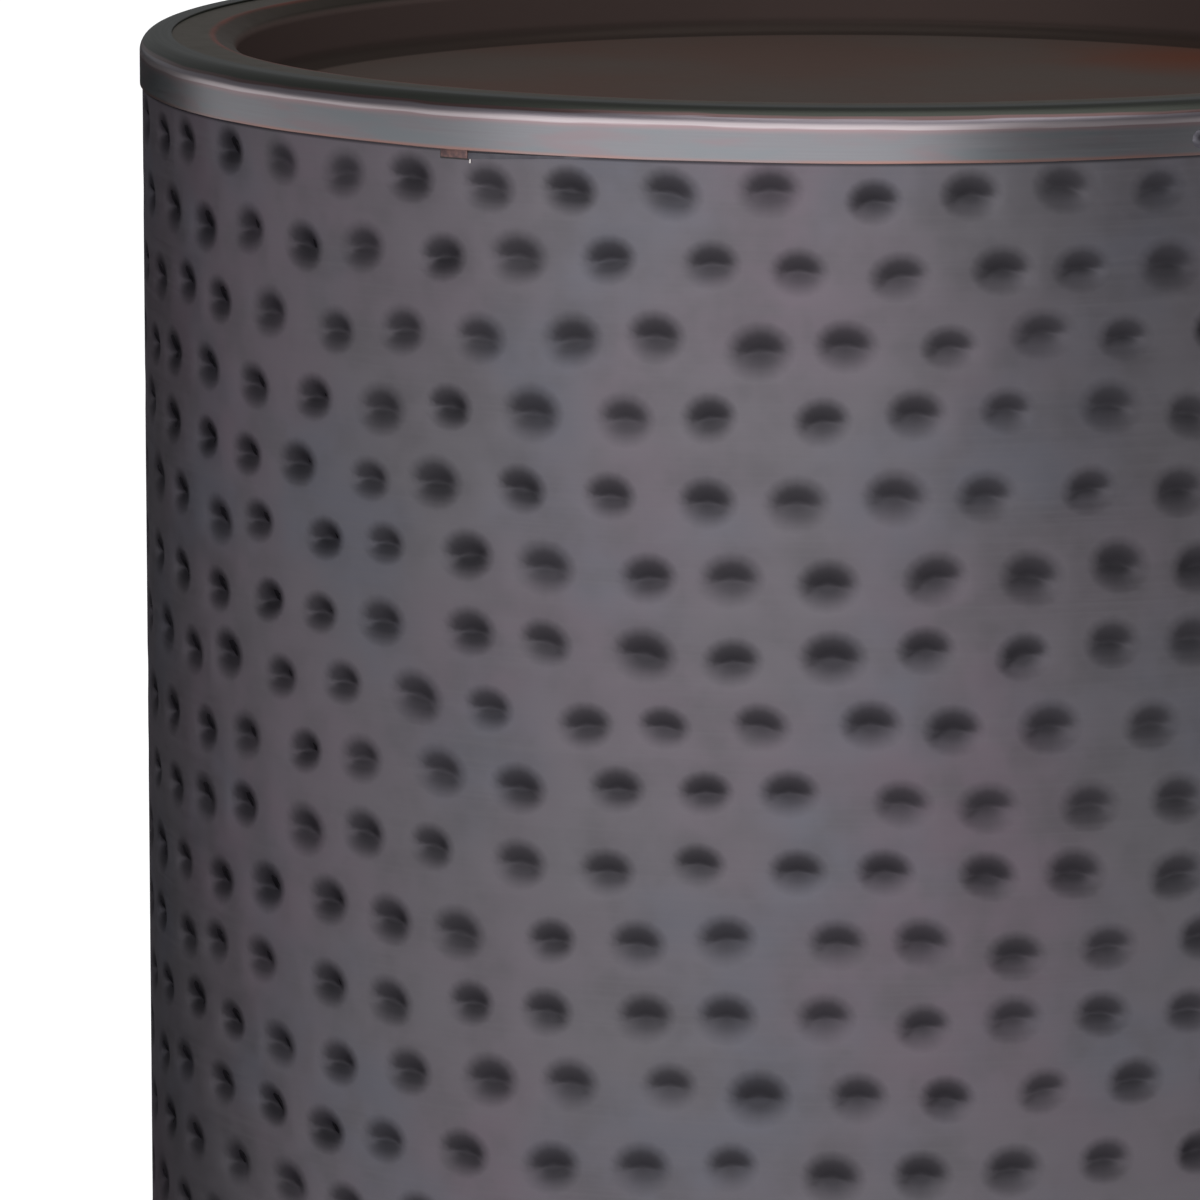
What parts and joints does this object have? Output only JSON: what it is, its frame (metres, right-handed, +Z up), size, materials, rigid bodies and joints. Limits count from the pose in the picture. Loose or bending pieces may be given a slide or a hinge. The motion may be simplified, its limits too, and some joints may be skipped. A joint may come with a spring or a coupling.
{
  "type": "drum side table",
  "caption": "Round hammered metal drum side table with a sunk tray top, a smooth rim band and base band, and a hollow body on low glides.",
  "frame": {"origin": "on the floor, under the middle of the drum", "axes": "+Z up along the drum's axis; -Y towards the viewer of the picture, +X to the right"},
  "size_m": [0.4007, 0.4, 0.46],
  "materials": {
    "hammered_bronze": "antiqued dark bronze lacquer over hammered sheet iron, satin",
    "rim_bronze": "smooth dark bronze, buffed, with copper showing at worn edges",
    "worn_copper": "bronze worn through to copper",
    "rivet_bronze": "dark bronze, satin",
    "tray_bronze": "dark brown bronze, satin, with a warm patina",
    "plain_steel": "dark primer on mild steel, matt",
    "glide_nylon": "black moulded nylon",
    "zinc_screw": "zinc plated steel"
  },
  "bodies": {
    "root": {"drum_shell": "hammered_bronze", "seam_strip": "plain_steel", "rim_band": "rim_bronze", "rim_lap_tab": "worn_copper", "rim_rivets": "rivet_bronze", "top_tray": "tray_bronze", "top_ring": "plain_steel", "support_bar_lower": "plain_steel", "support_bar_upper": "plain_steel", "base_band": "rim_bronze", "base_ring": "plain_steel", "base_rivets": "rivet_bronze", "foot_glide_front_right": "glide_nylon", "foot_glide_back_right": "glide_nylon", "foot_glide_back_left": "glide_nylon", "foot_glide_front_left": "glide_nylon", "foot_screws": "zinc_screw", "foot_washers": "zinc_screw", "foot_nuts": "zinc_screw"}
  },
  "joints": []
}
